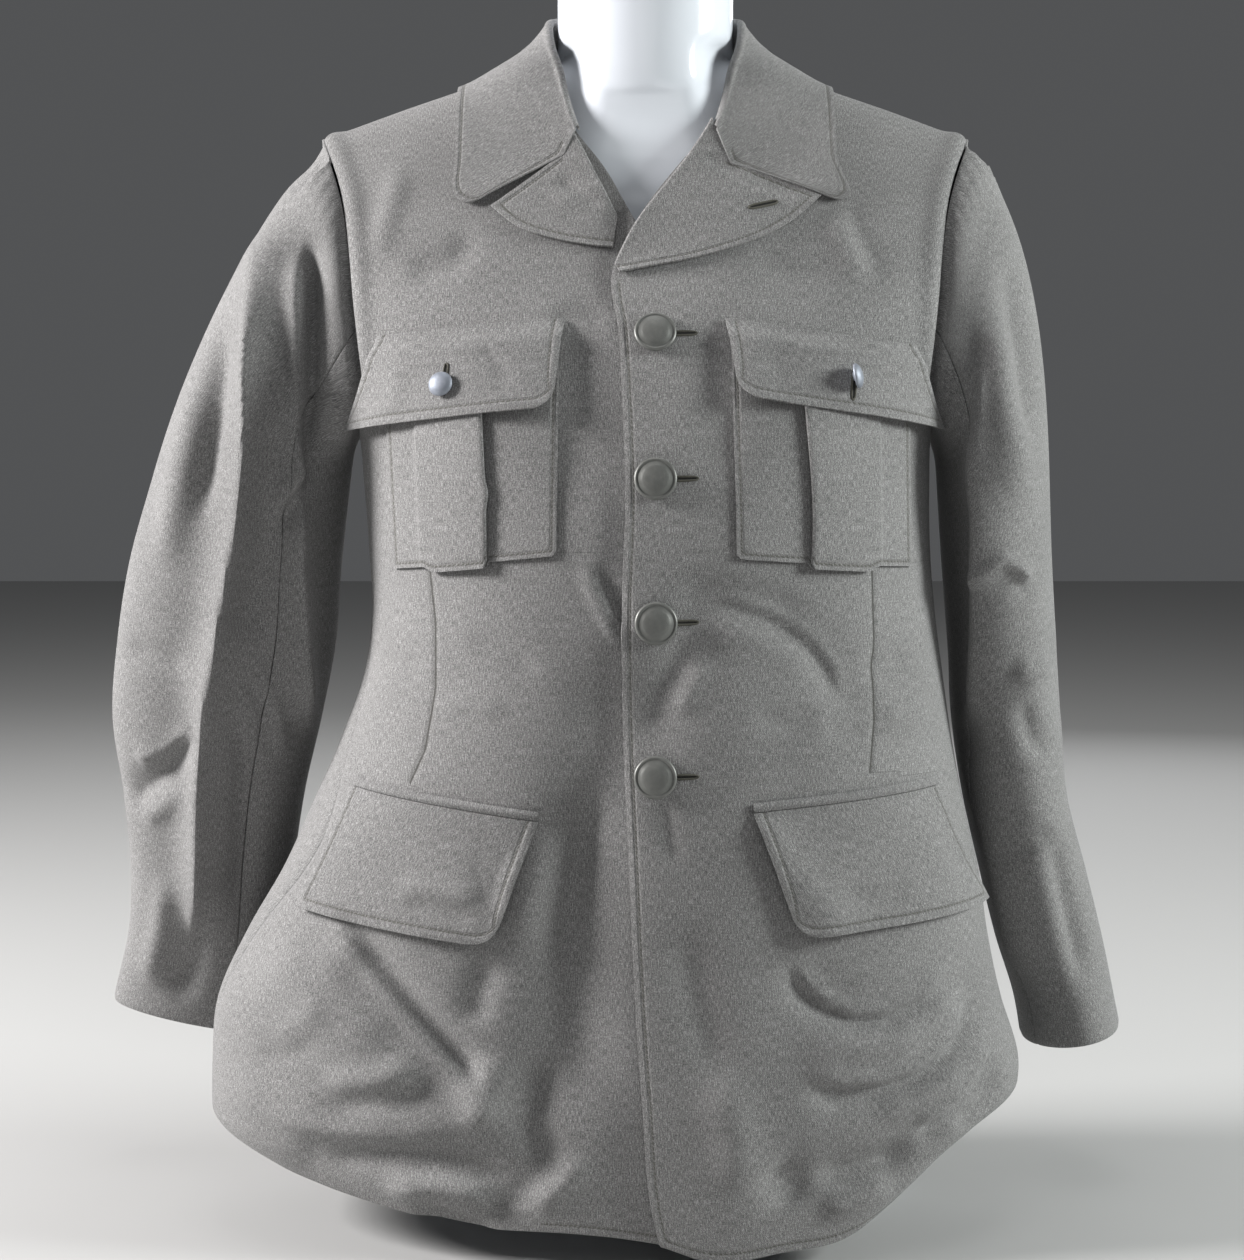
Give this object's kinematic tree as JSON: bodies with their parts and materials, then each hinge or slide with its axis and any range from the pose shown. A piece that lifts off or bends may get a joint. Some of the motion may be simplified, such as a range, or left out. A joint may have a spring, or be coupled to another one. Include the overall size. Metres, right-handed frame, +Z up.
{
  "type": "military uniform jacket on a limbless dress form",
  "caption": "Single-breasted wool uniform jacket with a notched collar, patch chest pockets and flapped hip pockets, standing on a smooth limbless dress form",
  "frame": {"origin": "the middle of the dress form's foot, on the floor", "axes": "+Z up, -Y is the front of the jacket, +X is the wearer's left"},
  "size_m": [0.6734, 0.287, 0.8],
  "materials": {
    "form_plastic": "smooth white gloss plastic, slightly bluish",
    "wool_twill": "grey-olive salt-and-pepper wool twill, matt, with a vertical grain",
    "button_painted": "grey-olive enamelled metal, dull",
    "button_bare": "dull bluish-silver metal"
  },
  "bodies": {
    "root": {"form": "form_plastic", "front_left": "wool_twill", "front_right": "wool_twill", "back": "wool_twill", "sleeve_left_upper": "wool_twill", "sleeve_left_under": "wool_twill", "sleeve_right_upper": "wool_twill", "sleeve_right_under": "wool_twill", "pocket_left": "wool_twill", "pocket_right": "wool_twill", "flap_chest_left": "wool_twill", "flap_chest_right": "wool_twill", "flap_hip_left": "wool_twill", "flap_hip_right": "wool_twill", "welt_left": "wool_twill", "welt_right": "wool_twill", "lapel_left": "wool_twill", "lapel_right": "wool_twill", "collar": "wool_twill", "button_front_1": "button_painted", "button_front_2": "button_painted", "button_front_3": "button_painted", "button_front_4": "button_painted", "button_chest_left": "button_bare", "button_chest_right": "button_bare"}
  },
  "joints": []
}
